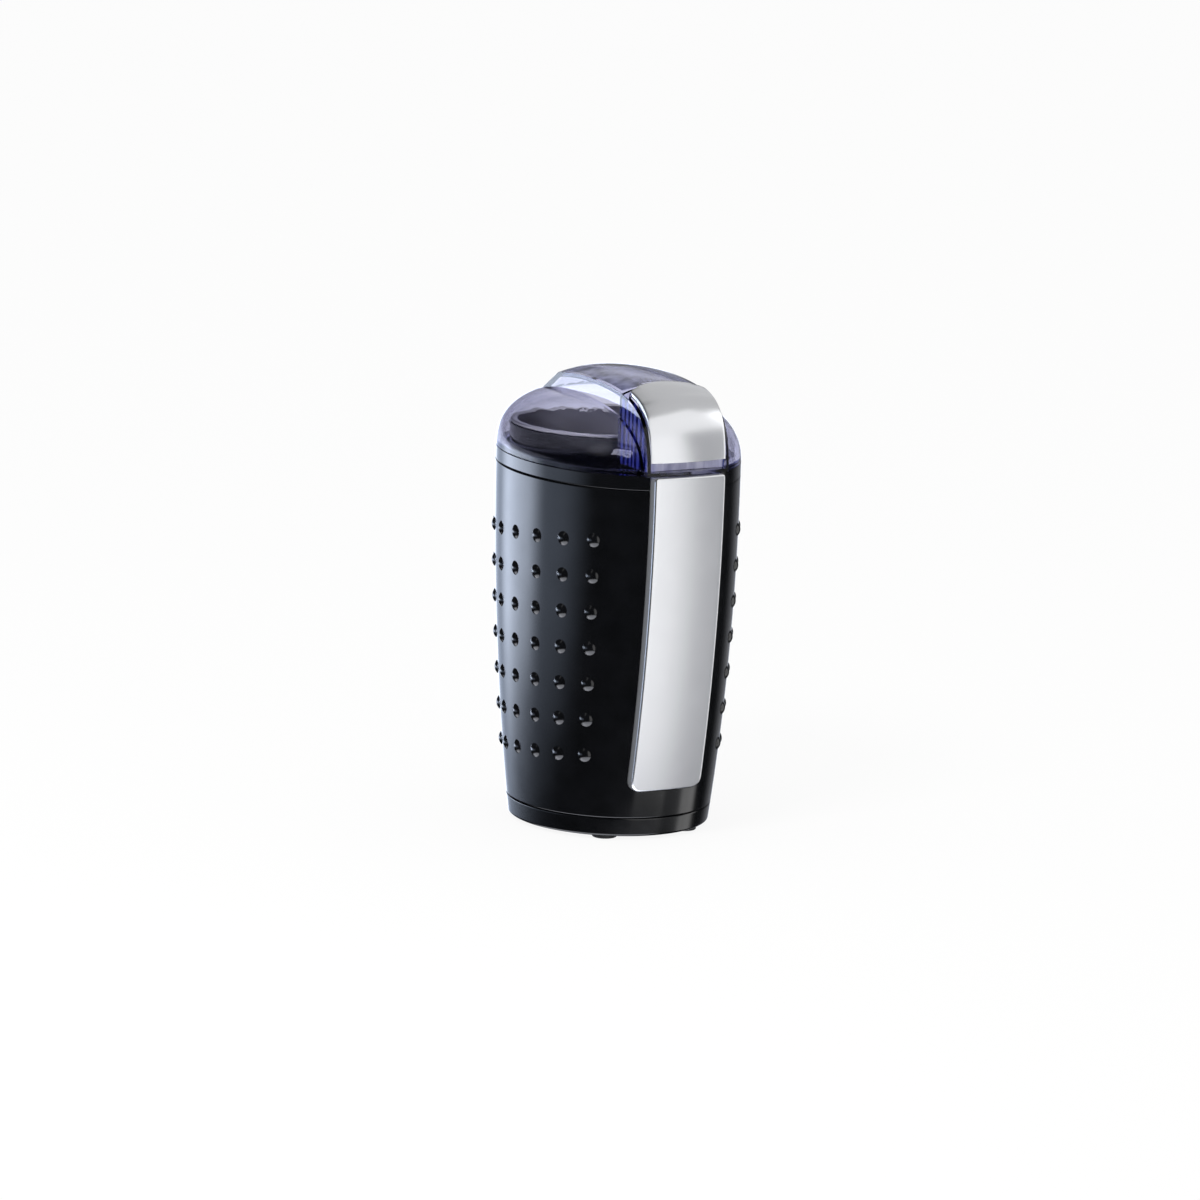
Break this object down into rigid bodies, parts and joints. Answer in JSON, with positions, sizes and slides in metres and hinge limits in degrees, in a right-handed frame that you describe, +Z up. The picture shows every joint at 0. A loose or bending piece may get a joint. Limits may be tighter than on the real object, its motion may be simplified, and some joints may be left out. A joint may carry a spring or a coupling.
{
  "type": "electric spice grinder",
  "caption": "Hand-size electric spice grinder: dimpled oval body, silver front strip, clear tinted lid with a press-down panel, steel cup and twisted blade.",
  "frame": {"origin": "centre of the footprint, on the table under the rubber feet", "axes": "+Z up, out of the lid; -Y to the front, where the silver strip and the press panel are; +X to the right of someone who faces +Y"},
  "size_m": [0.0926, 0.1219, 0.1843],
  "materials": {
    "black_abs": "glossy black moulded ABS",
    "silver_abs": "moulded ABS with a satin silver lacquer",
    "clear_tinted_plastic": "transparent moulded plastic with a blue-violet tint, clear where thin",
    "foot_rubber": "soft dark rubber",
    "black_rubber": "black rubber",
    "silicone": "grey silicone rubber",
    "cup_steel": "drawn stainless steel, satin inside",
    "blade_steel": "ground stainless steel",
    "shaft_steel": "ground steel",
    "zinc_steel": "bright zinc plated steel",
    "spring_steel": "spring steel",
    "lamination_steel": "varnished stacked steel sheet",
    "bracket_alloy": "die-cast alloy, unpolished",
    "bronze": null,
    "brass": "plain brass",
    "copper_wire": null,
    "copper_bar": null,
    "carbon": null,
    "grey_nylon": "dark grey moulded nylon",
    "white_nylon": "natural white moulded nylon",
    "switch_case": "dark moulded switch case",
    "capacitor_case": "yellow moulded film capacitor"
  },
  "bodies": {
    "base_unit": {"main_housing": "black_abs", "front_panel": "silver_abs", "top_housing": "black_abs", "base_cover": "black_abs", "rubber_feet": "foot_rubber", "base_screws": "zinc_steel", "cord_gland": "black_rubber", "terminal_block": "white_nylon", "capacitor": "capacitor_case", "grinding_cup": "cup_steel", "cup_gasket": "silicone", "shaft_seal": "silicone", "motor_mounts": "black_rubber", "mount_screws": "zinc_steel", "upper_bracket": "bracket_alloy", "lower_bracket": "bracket_alloy", "upper_bearing": "bronze", "lower_bearing": "bronze", "stator_core": "lamination_steel", "field_coils": "copper_wire", "motor_bolts": "zinc_steel", "brush_holders": "brass", "carbon_brushes": "carbon", "brush_springs": "spring_steel", "plunger_seal": "silicone", "plunger_spring": "spring_steel", "microswitch": "switch_case", "lever_pin": "spring_steel", "switch_tabs": "brass", "switch_bracket": "zinc_steel", "switch_screws": "zinc_steel", "bracket_screws": "zinc_steel"},
    "rotor": {"motor_shaft": "shaft_steel", "armature_core": "lamination_steel", "armature_winding": "copper_wire", "commutator": "copper_bar", "cooling_fan": "grey_nylon", "blade_hub": "brass", "grinding_blade": "blade_steel", "blade_nut": "zinc_steel"},
    "lid": {"lid_shell": "clear_tinted_plastic", "button_guide": "clear_tinted_plastic", "button_springs": "spring_steel"},
    "press_button": {"press_panel": "silver_abs", "push_rod": "white_nylon"},
    "plunger": {"switch_plunger": "white_nylon", "plunger_clip": "spring_steel"},
    "lever": {"switch_lever": "spring_steel"}
  },
  "joints": [
    {"name": "lid_lift", "type": "slide", "parent": "base_unit", "child": "lid", "axis": [0, 0, 1], "range_m": [0, 0.07]},
    {"name": "button_press", "type": "slide", "parent": "lid", "child": "press_button", "axis": [0, 0, -1], "range_m": [0, 0.003], "stiffness_N_per_m": 900, "springref_m": -0.001, "deforming": ["button_springs"]},
    {"name": "rotor_spin", "type": "hinge", "parent": "base_unit", "child": "rotor", "pos_m": [0, 0.012, 0.08], "axis": [0, 0, 1], "continuous": true},
    {"name": "plunger_slide", "type": "slide", "parent": "base_unit", "child": "plunger", "axis": [0, 0, -1], "range_m": [0, 0.003], "deforming": ["plunger_spring"]},
    {"name": "lever_hinge", "type": "hinge", "parent": "base_unit", "child": "lever", "pos_m": [0.0155, -0.0445, 0.1201], "axis": [0, -1, 0], "range_deg": [0, 11.2]}
  ],
  "couplings": [
    {"joint": "plunger_slide", "follows": "button_press", "ratio": 1},
    {"joint": "lever_hinge", "follows": "button_press", "rad_per_m": 64.516}
  ]
}
